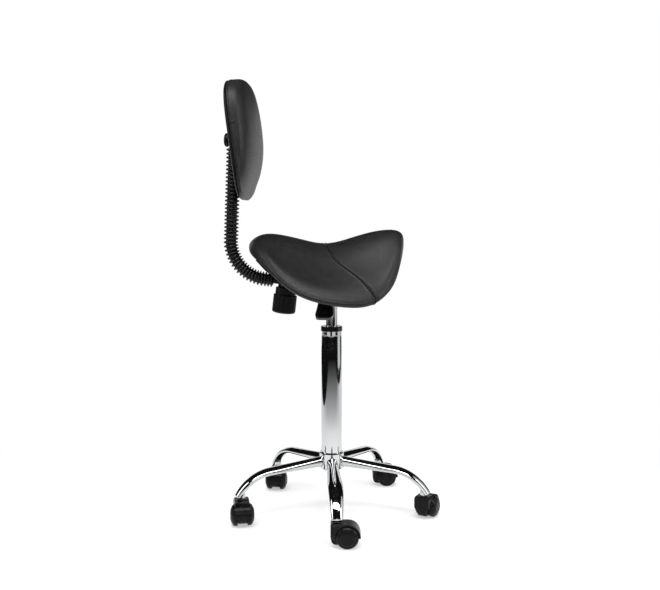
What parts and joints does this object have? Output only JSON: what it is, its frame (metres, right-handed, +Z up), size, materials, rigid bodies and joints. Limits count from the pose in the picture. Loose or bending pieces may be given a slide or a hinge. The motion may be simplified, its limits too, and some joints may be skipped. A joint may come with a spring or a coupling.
{
  "type": "pedicure stool",
  "caption": "Saddle-seat pedicure stool with a gas-lift column on a star base with casters, and a small padded backrest on a bent bar in a corrugated boot.",
  "frame": {"origin": "on the floor, on the axis of the column", "axes": "+X is the way the sitter faces, +Y is the sitter's left, +Z is up"},
  "size_m": [0.5192, 0.4778, 1.0269],
  "materials": {
    "black_plastic": "satin moulded black plastic",
    "black_steel": "satin black powder coat",
    "boot_rubber": "satin black corrugated rubber",
    "bush_plastic": "natural acetal",
    "caster_plastic": "satin moulded black nylon",
    "chrome": "polished chrome plate",
    "gloss_black": "polished moulded black plastic",
    "leather": "charcoal grained synthetic leather, satin",
    "plywood": "bare plywood",
    "rubber": "matte black rubber",
    "steel": "bright machined steel",
    "zinc": "bright zinc plate"
  },
  "bodies": {
    "base": {"hub": "chrome", "legs": "chrome", "stem_sockets": "chrome", "caster_stems": "zinc", "column_tube": "chrome", "column_cap": "gloss_black", "guide_bush": "bush_plastic", "column_floor": "zinc"},
    "piston": {"piston_rod": "steel", "piston_head": "black_plastic", "bearing_balls": "steel", "bearing_washer": "steel", "bump_rubber": "rubber", "rod_clip": "zinc"},
    "seat": {"gas_cylinder": "chrome", "cylinder_seal": "black_plastic", "mech_plate": "black_steel", "taper_socket": "black_steel", "bar_bracket": "black_steel", "seat_board": "black_plastic", "seat_cushion": "leather", "seat_bolts": "zinc", "tee_nuts": "zinc", "lever_pin": "zinc"},
    "release_button": {"valve_button": "zinc"},
    "lever": {"lever_rod": "black_steel", "lever_paddle": "gloss_black"},
    "bar_knob": {"clamp_knob": "black_plastic", "clamp_screw": "zinc"},
    "back_bar": {"back_bar": "black_steel", "bar_stop_pin": "zinc", "bar_boot": "boot_rubber"},
    "back_pad": {"pad_bracket": "black_steel", "pad_board": "plywood", "pad_cushion": "leather", "pad_back_cover": "black_plastic", "pad_bolts": "zinc"},
    "back_knob": {"pad_knob": "black_plastic", "pad_knob_screw": "zinc"},
    "caster_1": {"caster_1_hood": "caster_plastic", "caster_1_axle": "zinc"},
    "caster_1_left": {"caster_1_wheel_left": "caster_plastic"},
    "caster_1_right": {"caster_1_wheel_right": "caster_plastic"},
    "caster_2": {"caster_2_hood": "caster_plastic", "caster_2_axle": "zinc"},
    "caster_2_left": {"caster_2_wheel_left": "caster_plastic"},
    "caster_2_right": {"caster_2_wheel_right": "caster_plastic"},
    "caster_3": {"caster_3_hood": "caster_plastic", "caster_3_axle": "zinc"},
    "caster_3_left": {"caster_3_wheel_left": "caster_plastic"},
    "caster_3_right": {"caster_3_wheel_right": "caster_plastic"},
    "caster_4": {"caster_4_hood": "caster_plastic", "caster_4_axle": "zinc"},
    "caster_4_left": {"caster_4_wheel_left": "caster_plastic"},
    "caster_4_right": {"caster_4_wheel_right": "caster_plastic"},
    "caster_5": {"caster_5_hood": "caster_plastic", "caster_5_axle": "zinc"},
    "caster_5_left": {"caster_5_wheel_left": "caster_plastic"},
    "caster_5_right": {"caster_5_wheel_right": "caster_plastic"}
  },
  "joints": [
    {"name": "caster_1_swivel", "type": "hinge", "parent": "base", "child": "caster_1", "pos_m": [0.02362, -0.22476, 0.06], "axis": [0, 0, 1], "continuous": true},
    {"name": "caster_1_roll_left", "type": "hinge", "parent": "caster_1", "child": "caster_1_left", "pos_m": [0.04601, -0.22398, 0.025], "axis": [-0.0349, 0.9994, 0], "continuous": true},
    {"name": "caster_1_roll_right", "type": "hinge", "parent": "caster_1", "child": "caster_1_right", "pos_m": [0.04601, -0.22398, 0.025], "axis": [-0.0349, 0.9994, 0], "continuous": true},
    {"name": "caster_2_swivel", "type": "hinge", "parent": "base", "child": "caster_2", "pos_m": [0.22106, -0.04699, 0.06], "axis": [0, 0, 1], "continuous": true},
    {"name": "caster_2_roll_left", "type": "hinge", "parent": "caster_2", "child": "caster_2_left", "pos_m": [0.23123, -0.02703, 0.025], "axis": [-0.891, 0.454, 0], "continuous": true},
    {"name": "caster_2_roll_right", "type": "hinge", "parent": "caster_2", "child": "caster_2_right", "pos_m": [0.23123, -0.02703, 0.025], "axis": [-0.891, 0.454, 0], "continuous": true},
    {"name": "caster_3_swivel", "type": "hinge", "parent": "base", "child": "caster_3", "pos_m": [0.113, 0.19572, 0.06], "axis": [0, 0, 1], "continuous": true},
    {"name": "caster_3_roll_left", "type": "hinge", "parent": "caster_3", "child": "caster_3_left", "pos_m": [0.13531, 0.19767, 0.025], "axis": [-0.0872, 0.9962, 0], "continuous": true},
    {"name": "caster_3_roll_right", "type": "hinge", "parent": "caster_3", "child": "caster_3_right", "pos_m": [0.13531, 0.19767, 0.025], "axis": [-0.0872, 0.9962, 0], "continuous": true},
    {"name": "caster_4_swivel", "type": "hinge", "parent": "base", "child": "caster_4", "pos_m": [-0.15122, 0.16795, 0.06], "axis": [0, 0, 1], "continuous": true},
    {"name": "caster_4_roll_left", "type": "hinge", "parent": "caster_4", "child": "caster_4_left", "pos_m": [-0.15279, 0.14561, 0.025], "axis": [0.9976, -0.0698, 0], "continuous": true},
    {"name": "caster_4_roll_right", "type": "hinge", "parent": "caster_4", "child": "caster_4_right", "pos_m": [-0.15279, 0.14561, 0.025], "axis": [0.9976, -0.0698, 0], "continuous": true},
    {"name": "caster_5_swivel", "type": "hinge", "parent": "base", "child": "caster_5", "pos_m": [-0.20646, -0.09192, 0.06], "axis": [0, 0, 1], "continuous": true},
    {"name": "caster_5_roll_left", "type": "hinge", "parent": "caster_5", "child": "caster_5_left", "pos_m": [-0.20142, -0.11375, 0.025], "axis": [0.9744, 0.225, 0], "continuous": true},
    {"name": "caster_5_roll_right", "type": "hinge", "parent": "caster_5", "child": "caster_5_right", "pos_m": [-0.20142, -0.11375, 0.025], "axis": [0.9744, 0.225, 0], "continuous": true},
    {"name": "seat_swivel", "type": "hinge", "parent": "base", "child": "piston", "pos_m": [0, 0, 0.11], "axis": [0, 0, 1], "continuous": true},
    {"name": "seat_lift", "type": "slide", "parent": "piston", "child": "seat", "axis": [0, 0, 1], "range_m": [0, 0.2]},
    {"name": "lever_lift", "type": "hinge", "parent": "seat", "child": "lever", "pos_m": [-0.00163, -0.02595, 0.5558], "axis": [-0.998, 0.0628, 0], "range_deg": [0, 6], "stiffness_Nm_per_rad": 3, "springref_deg": -14.32},
    {"name": "button_press", "type": "slide", "parent": "seat", "child": "release_button", "axis": [0, 0, -1], "range_m": [0, 0.0035]},
    {"name": "bar_knob_turn", "type": "hinge", "parent": "seat", "child": "bar_knob", "pos_m": [-0.107, 0, 0.55785], "axis": [0.1132, 0, 0.9936], "continuous": true},
    {"name": "back_depth", "type": "slide", "parent": "seat", "child": "back_bar", "axis": [-0.9936, 0, 0.1132], "range_m": [0, 0.04]},
    {"name": "back_height", "type": "slide", "parent": "back_bar", "child": "back_pad", "axis": [0.0419, 0, 0.9991], "range_m": [0, 0.04]},
    {"name": "back_knob_turn", "type": "hinge", "parent": "back_pad", "child": "back_knob", "pos_m": [-0.23018, 0, 0.89112], "axis": [-0.9991, 0, 0.0419], "continuous": true}
  ],
  "couplings": [
    {"joint": "button_press", "follows": "lever_lift", "m_per_rad": 0.03}
  ]
}
